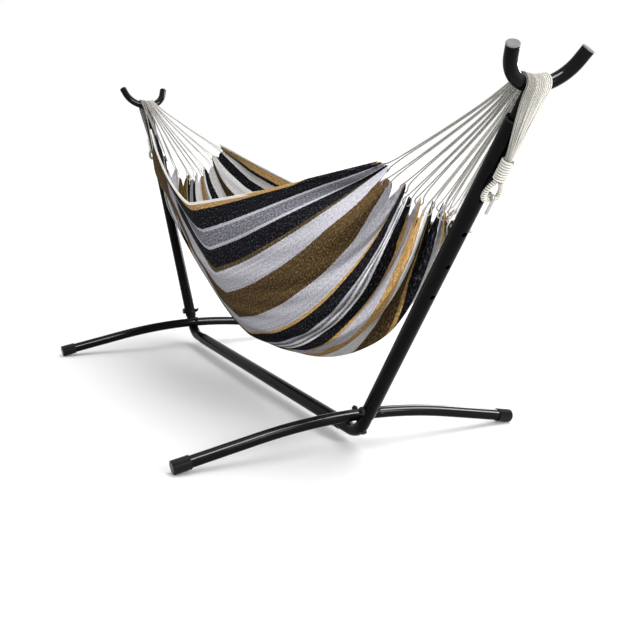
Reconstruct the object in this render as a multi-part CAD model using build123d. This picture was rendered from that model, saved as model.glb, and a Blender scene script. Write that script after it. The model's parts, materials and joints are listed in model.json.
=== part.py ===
from build123d import *
import math
import os

# Hammock hung on a two-ended steel stand. Millimetres, +X along the beam, +Y along the feet, +Z up.
# The origin is on the floor under the middle of the beam.

# Stand tubes
main_tube_od = 44.0
main_tube_wall = 2.0
elbow_wall = 2.5
foot_od = 35.0
foot_wall = 2.0
cradle_wall = 2.5
collar_wall = 4.6

# Clearances
slide_clearance = 0.2
seat_clearance = 0.3
bolt_clearance = 0.3
thread_clearance = 0.1
cord_clearance = 0.3
saddle_clearance = 0.6

# Stand layout
beam_axis_height = 43.0
corner_x = 702.0
upright_lean = 33.87
elbow_bend_radius = 90.0
beam_neck = 60.0
upright_neck = 37.0
elbow_insert = 110.0
foot_seat_angle = 45.0
cradle_height = 1167.0
upright_top_gap = 85.0

# Feet and their caps
foot_half_span = 566.0
foot_tip_height = 20.0
foot_arc_half = 320.0
slope_rounds = 12
cap_wall = 3.0
cap_grip = 46.0
cap_end = 6.0

# Cradle
cradle_bend_radius = 95.0
cradle_arc = 72.0
cradle_tip = 25.0
stem_insert = 70.0
plug_head = 3.0
plug_spigot = 14.0
collar_flange = 5.0
collar_sleeve = 40.0

# Fasteners
bolt_d = 8.0
bolt_head_d = 18.0
bolt_head_h = 6.0
nut_across = 15.0
nut_height = 8.0
bolt_overrun = 4.0
upright_bolt_offset = 22.0
knob_d = 24.0
knob_h = 10.0
knob_edge = 3.3
wing_hub_d = 14.0
wing_hub_h = 9.0
wing_reach = 19.0
wing_height = 13.0
wing_thickness = 3.6
wing_lift = 1.0
wing_tip = 4.6
upright_bolt_end = 6.0
screw_d = 6.0
screw_head_d = 11.0
screw_head_h = 3.2
screw_inset = 45.0

# Hook holes and hooks
hook_hole_d = 14.0
hook_hole_count = 5
hook_hole_pitch = 102.5
hook_hole_top = 985.0
hook_hole_used = 1
hook_wire = 8.0
hook_wall_gap = 2.0
hook_leg = 10.0
hook_eye_radius = 12.0
hook_prong = 34.0
hook_seat_gap = 0.8

# Eye loop and whipped neck of each rope tail
eye_rope = 13.0
eye_radius = 15.0
eye_gap = 0.5
eye_length = 46.0
eye_top_half = 7.0
neck_radius = 11.0
neck_length = 55.0
neck_edge = 10.4
whip_cord = 3.4
whip_turns = 12
whip_pitch = 4.2

# Suspension cords
cord_d = 3.8
finger_count = 14
cord_pitch = 4.6
cord_layer = 4.2
cord_drop_angle = 36.0
split_inset = 24.0
split_gap = 0.4
finger_spread = 2.3
tail_lead = 4.0
tail_gap = 0.5
tail_edge = 3.6

# Hanging cloth: rim and belly lines, front is -Y and back is +Y
cloth_thickness = 3.0
rim_end_x = 938.0
belly_end_x = 1032.0
rim_power = 1.12
front_rim_mid_y = -241.0
front_rim_end_y = -108.0
front_rim_mid_z = 663.0
front_rim_end_z = {"right": 840.0, "left": 900.0}
back_rim_mid_y = 206.0
back_rim_end_y = {"right": 130.0, "left": 226.0}
back_rim_mid_z = 692.0
back_rim_end_z = {"right": 705.0, "left": 838.0}
side_angle = 45.0
belly_y = 24.0
belly_end_shift = {"right": -16.0, "left": 80.0}
belly_mid_z = 169.0
belly_rise = {"right": 396.0, "left": 450.0}
belly_power = {"right": 2.4, "left": 1.4}
belly_end_lift = {"right": 176.0, "left": 76.0}
belly_end_power = 8
fold_depth = 7.0
fold_power = 2.0
cloth_stations = (0.0, 0.36, 0.64, 0.84, 1.0)
normal_step = 0.002

# Sizes that follow from the ones above
main_tube_id = main_tube_od - 2 * main_tube_wall
elbow_od = main_tube_id - 2 * slide_clearance
elbow_radius = elbow_od / 2
cradle_od = elbow_od - 2 * collar_wall - 2 * slide_clearance
main_radius = main_tube_od / 2
foot_radius = foot_od / 2
cradle_radius = cradle_od / 2
cord_radius = cord_d / 2
lean = math.radians(upright_lean)
bend_turn = math.pi / 2 - lean
bend_tangent = elbow_bend_radius * math.tan(bend_turn / 2)
beam_half = corner_x - bend_tangent - beam_neck
upright_bottom = bend_tangent + upright_neck
upright_top = cradle_height - upright_top_gap
upright_bolt_s = upright_bottom + upright_bolt_offset
bend_centre = Vector(corner_x - bend_tangent, 0, beam_axis_height + elbow_bend_radius)
seat_angle = math.radians(foot_seat_angle)
seat_direction = Vector(math.sin(seat_angle), 0, -math.cos(seat_angle))
foot_seat = elbow_bend_radius - elbow_radius - foot_radius - seat_clearance
foot_centre = bend_centre + seat_direction * foot_seat

# Frame of the right upright: local Z runs up its axis, local X points outwards
upright_plane = Plane(
    origin=(corner_x, 0, beam_axis_height),
    x_dir=(math.cos(lean), 0, -math.sin(lean)),
    z_dir=(math.sin(lean), 0, math.cos(lean)),
)
sides = ("right", "left")


def on_upright(shape):
    """Put a shape made in the upright's own frame at its place on the right-hand upright."""
    return upright_plane * shape


def at_side(shape, side):
    """Return a right-hand shape, or its mirror image for the left-hand end."""
    return shape if side == "right" else mirror(shape, about=Plane.YZ)


def ring(outer_d, inner_d, length):
    """Tube along +Z that starts at the origin."""
    aligned = (Align.CENTER, Align.CENTER, Align.MIN)
    return Cylinder(outer_d / 2, length, align=aligned) - Cylinder(inner_d / 2, length, align=aligned)


def rod(start, end, diameter):
    """Round bar between two points."""
    start = Vector(*start)
    span = Vector(*end) - start
    bar = Cylinder(diameter / 2, span.length, align=(Align.CENTER, Align.CENTER, Align.MIN))
    return Plane(origin=start, z_dir=span) * bar


def rounded_rod(start, end, diameter, radius):
    """Round bar with a rounded edge at its far end."""
    bar = rod(start, end, diameter)
    rim = bar.edges().filter_by(GeomType.CIRCLE).sort_by_distance(end)[0]
    return fillet(rim, radius)


def swept(path, diameter):
    """Round bar along a path."""
    return sweep(Plane(origin=path @ 0, z_dir=path % 0) * Circle(diameter / 2), path=path)


def swept_tube(path, outer_d, wall):
    """Round tube along a path."""
    return swept(path, outer_d) - swept(path, outer_d - 2 * wall)


def save(shape, name):
    """Write one node."""
    export_step(shape, os.path.join("parts", name + ".step"))


# Stand frame


def make_beam():
    """Straight floor beam that sleeves over both elbows."""
    beam = Plane(origin=(-beam_half, 0, beam_axis_height), z_dir=(1, 0, 0)) * ring(
        main_tube_od, main_tube_id, 2 * beam_half
    )
    for sign in (-1, 1):
        x = sign * (beam_half - screw_inset)
        beam -= rod((x, 0, 0), (x, 0, beam_axis_height), screw_d + 2 * bolt_clearance)
    return beam


def cross_hole():
    """Hole for the cross bolt at the foot of the upright, in the upright's frame."""
    start = (0, -main_tube_od, upright_bolt_s)
    return rod(start, (0, main_tube_od, upright_bolt_s), bolt_d + 2 * bolt_clearance)


def make_elbow():
    """Bent tube that joins the beam to the upright and carries the foot in its crook."""
    inner_x = beam_half - elbow_insert
    outer = bend_tangent + upright_neck + elbow_insert
    top = (corner_x + outer * math.sin(lean), 0, beam_axis_height + outer * math.cos(lean))
    path = FilletPolyline(
        (inner_x, 0, beam_axis_height), (corner_x, 0, beam_axis_height), top, radius=elbow_bend_radius
    )
    elbow = swept_tube(path, elbow_od, elbow_wall)
    reach = elbow_bend_radius + elbow_od
    elbow -= rod(bend_centre, bend_centre + seat_direction * reach, bolt_d + 2 * bolt_clearance)
    elbow -= on_upright(cross_hole())
    x = beam_half - screw_inset
    elbow -= rod((x, 0, 0), (x, 0, beam_axis_height), screw_d + 2 * thread_clearance)
    return elbow


def foot_path():
    """Line of a foot: a shallow arch in the middle and straight ends that reach the floor."""
    rise = foot_centre.Z - foot_tip_height
    slope = math.atan(rise / foot_half_span)
    for _ in range(slope_rounds):
        crown = foot_arc_half * math.tan(slope / 2) / math.cos(slope)
        slope = math.atan((rise + crown) / foot_half_span)
    peak = foot_tip_height + foot_half_span * math.tan(slope)
    radius = foot_arc_half / math.sin(slope)
    return FilletPolyline(
        (foot_centre.X, -foot_half_span, foot_tip_height),
        (foot_centre.X, 0, peak),
        (foot_centre.X, foot_half_span, foot_tip_height),
        radius=radius,
    )


def make_foot():
    """Arched cross foot, drilled for its bolt."""
    foot = swept_tube(foot_path(), foot_od, foot_wall)
    reach = seat_direction * (2 * foot_od)
    return foot - rod(foot_centre - reach, foot_centre + reach, bolt_d + 2 * bolt_clearance)


def make_foot_cap(end):
    """Slip-on cap with a flat pad, at the front (-1) or back (+1) end of a foot."""
    path = foot_path()
    tip = path @ 0 if end < 0 else path @ 1
    out = (path % 0) * -1 if end < 0 else path % 1
    bore = foot_od + 2 * slide_clearance
    outer = rounded_rod(tip - out * cap_grip, tip + out * cap_end, bore + 2 * cap_wall, cap_wall)
    cap = outer - rod(tip - out * (2 * cap_grip), tip + out * slide_clearance, bore)
    floor = Location((foot_centre.X, 0, -cap_grip)) * Box(4 * cap_grip, 4 * foot_half_span, 2 * cap_grip)
    return cap - floor


def make_upright():
    """Leaning tube with a row of hook holes down its outer face."""
    tube = Location((0, 0, upright_bottom)) * ring(main_tube_od, main_tube_id, upright_top - upright_bottom)
    for index in range(hook_hole_count):
        tube -= rod(
            (0, 0, hook_hole_top - index * hook_hole_pitch),
            (main_tube_od, 0, hook_hole_top - index * hook_hole_pitch),
            hook_hole_d,
        )
    return on_upright(tube - cross_hole())


def cradle_path():
    """Centre line of the two-armed cradle, in the upright's frame."""
    arc = math.radians(cradle_arc)
    knee_y = cradle_bend_radius * math.sin(arc)
    knee_z = cradle_height + cradle_bend_radius * (1 - math.cos(arc))
    tip_y = knee_y + cradle_tip * math.cos(arc)
    tip_z = knee_z + cradle_tip * math.sin(arc)
    left_arm = Line((0, -tip_y, tip_z), (0, -knee_y, knee_z))
    bow = ThreePointArc((0, -knee_y, knee_z), (0, 0, cradle_height), (0, knee_y, knee_z))
    right_arm = Line((0, knee_y, knee_z), (0, tip_y, tip_z))
    return Wire([left_arm, bow, right_arm])


def make_cradle():
    """Bent cradle tube welded on a stem that drops into the upright."""
    path = cradle_path()
    stem_bottom = upright_top - stem_insert
    aligned = (Align.CENTER, Align.CENTER, Align.MIN)
    stem = Location((0, 0, stem_bottom)) * Cylinder(cradle_radius, cradle_height - stem_bottom, align=aligned)
    cradle = swept(path, cradle_od) + stem - swept(path, cradle_od - 2 * cradle_wall)
    return on_upright(cradle)


def make_cradle_plug(end):
    """End plug of a cradle arm, at the front (-1) or back (+1) side."""
    path = cradle_path()
    tip = path @ 0 if end < 0 else path @ 1
    out = (path % 0) * -1 if end < 0 else path % 1
    head = rounded_rod(tip, tip + out * plug_head, cradle_od, plug_head / 2)
    spigot = rod(tip - out * plug_spigot, tip, cradle_od - 2 * cradle_wall - 2 * slide_clearance)
    return on_upright(head + spigot)


def make_top_collar():
    """Reducing collar between the cradle stem and the upright."""
    bore = cradle_od + 2 * slide_clearance
    flange = Location((0, 0, upright_top)) * ring(main_tube_od, bore, collar_flange)
    sleeve = Location((0, 0, upright_top - collar_sleeve)) * ring(elbow_od, bore, collar_sleeve)
    return on_upright(flange + sleeve)


# Fasteners


def make_foot_bolt():
    """Bolt through the elbow's crook and the foot."""
    head_face = elbow_bend_radius + elbow_radius + slide_clearance
    tip = foot_seat - foot_radius - nut_height - bolt_overrun
    start = bend_centre + seat_direction * tip
    face = bend_centre + seat_direction * head_face
    head = rounded_rod(face, face + seat_direction * bolt_head_h, bolt_head_d, bolt_head_h / 2)
    return rod(start, face, bolt_d) + head


def make_foot_nut():
    """Hexagon nut on top of the foot."""
    face = foot_seat - foot_radius - slide_clearance
    profile = RegularPolygon(nut_across / 2, 6, major_radius=False) - Circle(bolt_d / 2 + thread_clearance)
    nut = extrude(profile, nut_height)
    return Plane(origin=bend_centre + seat_direction * face, z_dir=seat_direction * -1) * nut


def make_upright_bolt():
    """Cross bolt with a round grip head at the front of the upright."""
    face = main_radius + slide_clearance
    end = face + wing_hub_h + upright_bolt_end
    shank = rod((0, -face, upright_bolt_s), (0, end, upright_bolt_s), bolt_d)
    grip = rounded_rod((0, -face, upright_bolt_s), (0, -face - knob_h, upright_bolt_s), knob_d, knob_edge)
    return on_upright(shank + grip)


def make_wing_nut():
    """Wing nut at the back of the upright."""
    face = main_radius + slide_clearance
    hub = rod((0, face, upright_bolt_s), (0, face + wing_hub_h, upright_bolt_s), wing_hub_d)
    wing = Polyline(
        (0, face + wing_lift),
        (wing_hub_d / 2, face + wing_lift),
        (wing_reach, face + wing_height - wing_hub_h / 2),
        (wing_reach, face + wing_height),
        (wing_reach - wing_tip, face + wing_height),
        (0, face + wing_hub_h / 2),
        close=True,
    )
    blade = extrude(make_face(wing), wing_thickness / 2, both=True)
    blade = Location((0, 0, upright_bolt_s)) * blade
    nut = hub + blade + mirror(blade, about=Plane.YZ)
    bore_end = 2 * face + wing_hub_h
    bore = rod((0, 0, upright_bolt_s), (0, bore_end, upright_bolt_s), bolt_d + 2 * thread_clearance)
    return on_upright(nut - bore)


def make_beam_screw():
    """Button-head screw under the end of the beam."""
    x = beam_half - screw_inset
    face = beam_axis_height - main_radius - slide_clearance
    shank = rod((x, 0, face), (x, 0, beam_axis_height - elbow_radius + 2 * elbow_wall), screw_d)
    head = rounded_rod((x, 0, face), (x, 0, face - screw_head_h), screw_head_d, screw_head_h / 2)
    return shank + head


# Hook, eye loop, whipped neck and rope tail of one end, in the upright's frame

hook_hole_s = hook_hole_top - hook_hole_used * hook_hole_pitch
hook_outer_n = main_radius + hook_wall_gap + hook_wire / 2
hook_inner_n = main_radius - main_tube_wall - hook_wall_gap - hook_wire / 2
hook_turn_radius = (hook_outer_n - hook_inner_n) / 2
hook_turn_s = hook_hole_s + hook_hole_d / 2 - hook_wire / 2 + hook_turn_radius - hook_seat_gap
hook_top_s = hook_turn_s + hook_leg
neck_n = hook_outer_n + hook_eye_radius
eye_bottom_s = hook_top_s + hook_eye_radius - hook_wire / 2 - eye_rope / 2 - eye_gap
eye_top_s = eye_bottom_s + eye_length
eye_shoulder_s = eye_bottom_s + 2 * eye_radius
eye_tilt = math.atan2(eye_radius - eye_top_half, eye_top_s - eye_shoulder_s)
neck_bottom_s = eye_top_s + eye_rope / 2 * math.sin(eye_tilt) + eye_gap
neck_top_s = neck_bottom_s + neck_length


def make_hook():
    """S-shaped wire hook: one end in the upright's hole, the other round the eye loop."""
    turn_n = (hook_outer_n + hook_inner_n) / 2
    free_n = neck_n + hook_eye_radius
    path = Wire(
        [
            Line((hook_inner_n, 0, hook_turn_s + hook_wire), (hook_inner_n, 0, hook_turn_s)),
            ThreePointArc(
                (hook_inner_n, 0, hook_turn_s),
                (turn_n, 0, hook_turn_s - hook_turn_radius),
                (hook_outer_n, 0, hook_turn_s),
            ),
            Line((hook_outer_n, 0, hook_turn_s), (hook_outer_n, 0, hook_top_s)),
            ThreePointArc(
                (hook_outer_n, 0, hook_top_s),
                (neck_n, 0, hook_top_s + hook_eye_radius),
                (free_n, 0, hook_top_s),
            ),
            Line((free_n, 0, hook_top_s), (free_n, 0, hook_top_s - hook_prong)),
        ]
    )
    return on_upright(swept(path, hook_wire))


def make_eye_loop():
    """Rope eye that hangs in the hook, its two legs drawn together under the neck."""
    path = FilletPolyline(
        (neck_n, -eye_top_half, eye_top_s),
        (neck_n, -eye_radius, eye_shoulder_s),
        (neck_n, -eye_radius, eye_bottom_s),
        (neck_n, eye_radius, eye_bottom_s),
        (neck_n, eye_radius, eye_shoulder_s),
        (neck_n, eye_top_half, eye_top_s),
        radius=[eye_radius, eye_radius - eye_gap, eye_radius - eye_gap, eye_radius],
    )
    return on_upright(swept(path, eye_rope))


def biarc(start, start_dir, end, end_dir):
    """Two arcs that join two points and meet the given unit directions at both ends."""
    span = end - start
    both = start_dir + end_dir
    spread = 2 * (1 - start_dir.dot(end_dir))
    along = span.dot(both)
    reach = (-along + math.sqrt(along * along + spread * span.dot(span))) / spread
    middle = ((start + start_dir * reach) + (end - end_dir * reach)) * 0.5
    first = Edge.make_tangent_arc(start, start_dir, middle)
    back = Edge.make_tangent_arc(end, end_dir * -1, middle)
    return [first, Edge.make_three_point_arc(middle, back @ 0.5, end)]


def make_neck_whipping():
    """Cord wound round the neck in one unbroken coil of close turns."""
    coil_radius = neck_radius + cord_clearance + whip_cord / 2
    start_s = neck_bottom_s + (neck_length - whip_turns * whip_pitch) / 2
    rise = whip_pitch / (2 * math.pi)

    def place(angle):
        return Vector(
            neck_n + coil_radius * math.cos(angle),
            coil_radius * math.sin(angle),
            start_s + rise * angle,
        )

    def heading(angle):
        return Vector(-coil_radius * math.sin(angle), coil_radius * math.cos(angle), rise).normalized()

    quarters = [index * math.pi / 2 for index in range(4 * whip_turns + 1)]
    first, last = quarters[0], quarters[-1]
    edges = [Edge.make_line(place(first) - heading(first) * whip_cord, place(first))]
    for begin, finish in zip(quarters, quarters[1:]):
        edges += biarc(place(begin), heading(begin), place(finish), heading(finish))
    edges.append(Edge.make_line(place(last), place(last) + heading(last) * whip_cord))
    path = Wire(edges)
    points = [edge @ share for edge in edges for share in (0.0, 0.5)]
    apart = len(points) // whip_turns // 2
    gap = min(
        (points[a] - points[b]).length
        for a in range(len(points))
        for b in range(a + apart, len(points))
    )
    print(f"whipping: {whip_turns} turns, least gap to itself {gap - whip_cord:.2f} mm")
    return on_upright(swept(path, whip_cord))


cord_columns = [(index - (finger_count - 1) / 2) * cord_pitch for index in range(finger_count)]
saddle_slope = math.asin(cord_columns[-1] / cradle_bend_radius)
wrap_radius = cradle_radius / math.cos(saddle_slope) + cord_radius + saddle_clearance
wrap_radii = [wrap_radius, wrap_radius + cord_layer]
split_x = corner_x + cradle_height * math.sin(lean) - split_inset
drop = math.radians(cord_drop_angle)
drop_direction = Vector(-math.cos(drop), 0, -math.sin(drop))
outward = Vector(math.cos(lean), 0, -math.sin(lean))
upward = Vector(math.sin(lean), 0, math.cos(lean))


def saddle_centre(y):
    """Point of the cradle's centre line at a given distance along Y."""
    rise = cradle_bend_radius - math.sqrt(cradle_bend_radius**2 - y * y)
    return Vector(corner_x, y, beam_axis_height) + upward * (cradle_height + rise)


def split_point(y, layer):
    """Where a cord that drops from the cradle crosses the plane in front of it."""
    touch = saddle_centre(y) + Vector(-math.sin(drop), 0, math.cos(drop)) * wrap_radii[layer]
    return touch + drop_direction * ((touch.X - split_x) / math.cos(drop))


def split_block(x, sign):
    """Block whose face at x trims the cords on its own side of the plane in front of the cradle."""
    size = 2 * split_inset + 4 * cord_pitch * finger_count
    return Location((x + sign * size / 2, 0, saddle_centre(0).Z)) * Box(size, size, size)


def make_saddle_cords():
    """Cords where they lie over the cradle, in two layers side by side."""
    cords = []
    tail_top = cradle_height - tail_lead
    base = Vector(corner_x, 0, beam_axis_height)
    inner_side = split_block(split_x + split_gap, -1)
    for layer, radius in enumerate(wrap_radii):
        for y in cord_columns:
            centre = saddle_centre(y)
            inner = centre + Vector(-math.sin(drop), 0, math.cos(drop)) * radius
            outer = centre + outward * radius
            crown = ((inner - centre).normalized() + outward).normalized()
            start = split_point(y, layer) + drop_direction * cord_d
            end = base + outward * radius + upward * tail_top + Vector(0, y, 0)
            path = Wire(
                [Line(start, inner), ThreePointArc(inner, centre + crown * radius, outer), Line(outer, end)]
            )
            cords.append(swept(path, cord_d) - inner_side)
    return Compound(children=[solid for cord in cords for solid in cord.solids()])


def make_rope_tail():
    """Cords gathered from the cradle into a round neck above the eye loop."""
    top_n = sum(wrap_radii) / 2
    top_s = cradle_height - tail_lead - tail_gap
    width = cord_columns[-1] - cord_columns[0] + cord_d
    depth = wrap_radii[1] - wrap_radii[0] + cord_d
    flat = Plane(origin=(top_n, 0, top_s)) * RectangleRounded(depth, width, tail_edge)
    gathered = Plane(origin=(neck_n, 0, neck_top_s)) * RectangleRounded(
        2 * neck_radius, 2 * neck_radius, neck_edge
    )
    taper = loft([flat, gathered])
    neck = extrude(Plane(origin=(neck_n, 0, neck_bottom_s)) * Circle(neck_radius), neck_length)
    return on_upright(taper + neck)


# Hanging cloth and its fans of cords


def cloth_lines(t, side):
    """Heights and places of both rims and the belly at a share t of the half length."""
    reach = abs(t)
    front_end = front_rim_end_z[side]
    back_end_y, back_end_z = back_rim_end_y[side], back_rim_end_z[side]
    front = (
        front_rim_mid_y + (front_rim_end_y - front_rim_mid_y) * reach**2,
        front_rim_mid_z + (front_end - front_rim_mid_z) * reach**rim_power,
    )
    back = (
        back_rim_mid_y + (back_end_y - back_rim_mid_y) * reach**2,
        back_rim_mid_z + (back_end_z - back_rim_mid_z) * reach**rim_power,
    )
    rise = belly_rise[side] * reach ** belly_power[side]
    belly = (
        belly_y + belly_end_shift[side] * reach**belly_end_power,
        belly_mid_z + rise + belly_end_lift[side] * reach**belly_end_power,
    )
    return front, back, belly


def cloth_point(t, s, side):
    """Point of the cloth: t runs from the middle to one end, s from front rim (-1) to back rim (+1)."""
    front, back, (low_y, low_z) = cloth_lines(t, side)
    rim_y, rim_z = front if s < 0 else back
    full = math.radians(side_angle)
    angle = abs(s) * full
    y = low_y + (rim_y - low_y) * math.sin(angle) / math.sin(full)
    z = low_z + (rim_z - low_z) * (1 - math.cos(angle)) / (1 - math.cos(full))
    tilt = (belly_end_x - rim_end_x) * t / (front[1] - low_z)
    return Vector(rim_end_x * t + tilt * (front[1] - z), y, z)


def cloth_normal(t, s, side):
    """Unit vector square to the cloth in its section plane, pointing out of the hollow."""
    low = max(-1.0, s - normal_step)
    high = min(1.0, s + normal_step)
    along = cloth_point(t, high, side) - cloth_point(t, low, side)
    lean_in = cloth_point(t, 0, side) - cloth_point(t, -1, side)
    across = Vector(lean_in.X, 0, lean_in.Z).cross(Vector(0, 1, 0))
    return along.cross(across).normalized() * -1


def fold_point(t, index, side):
    """Crest or hollow of one lengthwise fold."""
    s = -1 + (2 * index + 1) / finger_count
    sway = fold_depth * abs(t) ** fold_power * (1 if index % 2 else -1)
    return cloth_point(t, s, side) + cloth_normal(t, s, side) * sway


def cloth_section(t, side):
    """Closed outline of the cloth across one station."""
    sign = 1 if side == "right" else -1

    def placed(point):
        return Vector(sign * point.X, point.Y, point.Z)

    outer, inner = [], []
    for index in range(finger_count):
        s_low = -1 + 2 * index / finger_count
        s_high = -1 + 2 * (index + 1) / finger_count
        s_mid = (s_low + s_high) / 2
        points = [cloth_point(t, s_low, side), fold_point(t, index, side), cloth_point(t, s_high, side)]
        inwards = [cloth_normal(t, s, side) * -cloth_thickness for s in (s_low, s_mid, s_high)]
        outer.append(Edge.make_three_point_arc(*[placed(p) for p in points]))
        shifted = [placed(p + shift) for p, shift in zip(points, inwards)]
        inner.append(Edge.make_three_point_arc(*shifted[::-1]))
    back_hem = Edge.make_line(outer[-1] @ 1, inner[-1] @ 0)
    front_hem = Edge.make_line(inner[0] @ 1, outer[0] @ 0)
    return Wire(outer + [back_hem] + inner[::-1] + [front_hem])


def make_cloth():
    """Hammock cloth as one shell with its lengthwise folds."""
    left = [cloth_section(t, "left") for t in cloth_stations[:0:-1]]
    right = [cloth_section(t, "right") for t in cloth_stations]
    return Solid.make_loft(left + right)


def make_fan(side):
    """Pairs of straight cords from the cloth's fingers to the plane in front of the cradle."""
    end_point = cloth_point(1, 0, side)
    rim_point = cloth_point(1, -1, side)
    slope = Vector(rim_point.X - end_point.X, 0, rim_point.Z - end_point.Z).normalized()
    end_out = Vector(0, 1, 0).cross(slope)
    end_out = end_out if end_out.X > 0 else end_out * -1
    outer_side = split_block(split_x, 1)
    cords = []
    for index, y in enumerate(cord_columns):
        s = -1 + (2 * index + 1) / finger_count
        middle = fold_point(1, index, side) - cloth_normal(1, s, side) * (cloth_thickness / 2)
        for layer in range(len(wrap_radii)):
            seat = middle + slope * (finger_spread * (2 * layer - 1))
            root = split_point(y, layer)
            course = (root - seat).normalized()
            square = course.dot(end_out)
            lift = cord_clearance + cord_radius * math.sqrt(1 - square * square)
            cord = rod(seat + course * (lift / square), root + course * (2 * cord_d), cord_d)
            cords.append(cord - outer_side)
    return Compound(children=[solid for cord in cords for solid in cord.solids()])


os.makedirs("parts", exist_ok=True)
save(make_beam(), "beam")
for side_name in sides:
    save(at_side(make_elbow(), side_name), "elbow_" + side_name)
    save(at_side(make_foot(), side_name), "foot_" + side_name)
    for end_name, end_sign in (("front", -1), ("back", 1)):
        save(at_side(make_foot_cap(end_sign), side_name), f"foot_cap_{side_name}_{end_name}")
        save(at_side(make_cradle_plug(end_sign), side_name), f"cradle_plug_{side_name}_{end_name}")
    save(at_side(make_upright(), side_name), "upright_" + side_name)
    save(at_side(make_top_collar(), side_name), "top_collar_" + side_name)
    save(at_side(make_cradle(), side_name), "cradle_" + side_name)
    save(at_side(make_wing_nut(), side_name), "wing_nut_" + side_name)
    save(at_side(make_hook(), side_name), "hook_" + side_name)
    save(at_side(make_eye_loop(), side_name), "eye_loop_" + side_name)
    save(at_side(make_neck_whipping(), side_name), "neck_whipping_" + side_name)
    save(at_side(make_rope_tail(), side_name), "rope_tail_" + side_name)
    save(at_side(make_saddle_cords(), side_name), "saddle_cords_" + side_name)
    save(at_side(make_fan(side_name), side_name), "fan_cords_" + side_name)
for maker, node in (
    (make_foot_bolt, "foot_bolts"),
    (make_foot_nut, "foot_nuts"),
    (make_upright_bolt, "upright_bolts"),
    (make_beam_screw, "beam_screws"),
):
    save(Compound(children=[at_side(maker(), side_name) for side_name in sides]), node)
save(make_cloth(), "hammock_cloth")
print(f"foot centre x {foot_centre.X:.1f} z {foot_centre.Z:.1f}, split x {split_x:.1f}")
print(f"swing axis height {split_point(cord_columns[0], 0).Z:.1f} to {split_point(0, 1).Z:.1f}")
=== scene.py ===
import json
import logging
import math
from dataclasses import dataclass, field
from enum import Enum
from typing import Sequence

import bpy
import numpy as np
from mathutils import Matrix, Vector


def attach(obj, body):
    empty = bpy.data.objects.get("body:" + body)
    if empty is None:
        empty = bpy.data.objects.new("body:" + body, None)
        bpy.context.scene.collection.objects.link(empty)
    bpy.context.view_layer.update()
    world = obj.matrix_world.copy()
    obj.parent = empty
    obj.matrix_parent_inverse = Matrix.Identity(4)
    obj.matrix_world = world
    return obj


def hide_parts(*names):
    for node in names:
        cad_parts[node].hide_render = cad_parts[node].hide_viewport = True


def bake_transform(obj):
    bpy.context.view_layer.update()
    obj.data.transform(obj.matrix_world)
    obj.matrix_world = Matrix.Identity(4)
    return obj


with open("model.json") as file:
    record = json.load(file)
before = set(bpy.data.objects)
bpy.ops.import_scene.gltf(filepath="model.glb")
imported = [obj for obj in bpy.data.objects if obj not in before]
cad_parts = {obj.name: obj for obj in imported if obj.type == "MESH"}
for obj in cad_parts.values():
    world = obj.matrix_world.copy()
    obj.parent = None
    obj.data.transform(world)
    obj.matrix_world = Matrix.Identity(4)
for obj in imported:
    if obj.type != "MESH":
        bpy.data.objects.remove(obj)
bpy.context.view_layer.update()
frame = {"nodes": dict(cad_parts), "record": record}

LOG = logging.getLogger("hammock")
FULL_TURN = 2.0 * math.pi
TINY = 1e-12
CLOTH_WIDTH = 1.25
NECK_OUT = 0.040
Array = np.ndarray
Material = bpy.types.Material
Piece = bpy.types.Object
Socket = bpy.types.NodeSocket
Pair = tuple[float, float]
Place = tuple[float, float, float]
Colour = tuple[float, float, float, float]
Sockets = tuple[tuple[str, float], ...]
# The range in which a pattern comes and the range to which it is carried.
Ranges = tuple[Pair, Pair]


class Side(Enum):
    """End of the stand: right is +X, left is -X."""

    RIGHT = "right"
    LEFT = "left"

    @property
    def sign(self) -> float:
        """Direction of this end along X."""
        return 1.0 if self is Side.RIGHT else -1.0


class Yarn(Enum):
    """Dyed yarns of the cloth, as base colours."""

    CHARCOAL = (0.0036, 0.0036, 0.0050, 1.0)
    PALE = (0.262, 0.258, 0.282, 1.0)
    WHITE = (0.42, 0.415, 0.41, 1.0)
    GREY = (0.098, 0.098, 0.112, 1.0)
    BROWN = (0.050, 0.031, 0.0115, 1.0)
    TAN = (0.245, 0.150, 0.058, 1.0)
    MUSTARD = (0.25, 0.160, 0.052, 1.0)
    OLIVE = (0.045, 0.033, 0.015, 1.0)


class Cotton(Enum):
    """Tones of the undyed cotton: the finish's name, its colour and the painted shade of its grooves. Apart
    from the first, the tones are darker copies of one cotton that paint the shade on the cords and cores
    lying in it.
    """

    CLEAN = ("cotton_cord", (0.82, 0.80, 0.745, 1.0), (0.30, 0.275, 0.215, 1.0))
    # Painted shade: a much darker copy of the cotton for the front third of the cords.
    DULL = ("cotton_dull", (0.40, 0.39, 0.355, 1.0), (0.15, 0.135, 0.105, 1.0))
    # Painted shade: a somewhat darker copy of the cotton for the middle third of the cords.
    GREY = ("cotton_grey", (0.62, 0.605, 0.56, 1.0), (0.22, 0.20, 0.155, 1.0))
    # Painted shade: darker olive cotton for the cores under the whipping and the eye's wrapping, seen in the
    # gaps between turns.
    INNER = ("cotton_inner", (0.24, 0.21, 0.15, 1.0), (0.13, 0.11, 0.075, 1.0))


class Lit(Enum):
    """What a lamp lights."""

    ALL = "everything"
    CLOTH = "the cloth"
    COATED = "the coated tubes"

    def pieces(self) -> list[Piece]:
        """List the pieces to which a lamp is kept.

        Returns:
            The cloth's or the stand's pieces.
        """
        if self is Lit.CLOTH:
            return [bpy.data.objects["striped_cloth"], bpy.data.objects["rim_roll"]]
        return [frame["nodes"][row["node"]] for row in frame["record"]["subparts"]
                if row["material_slot"] == "black_powder_coat"]


def unit(vectors: Array) -> Array:
    """Return vectors scaled to length one along their last axis."""
    return vectors / np.maximum(np.linalg.norm(vectors, axis=-1, keepdims=True), TINY)


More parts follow.
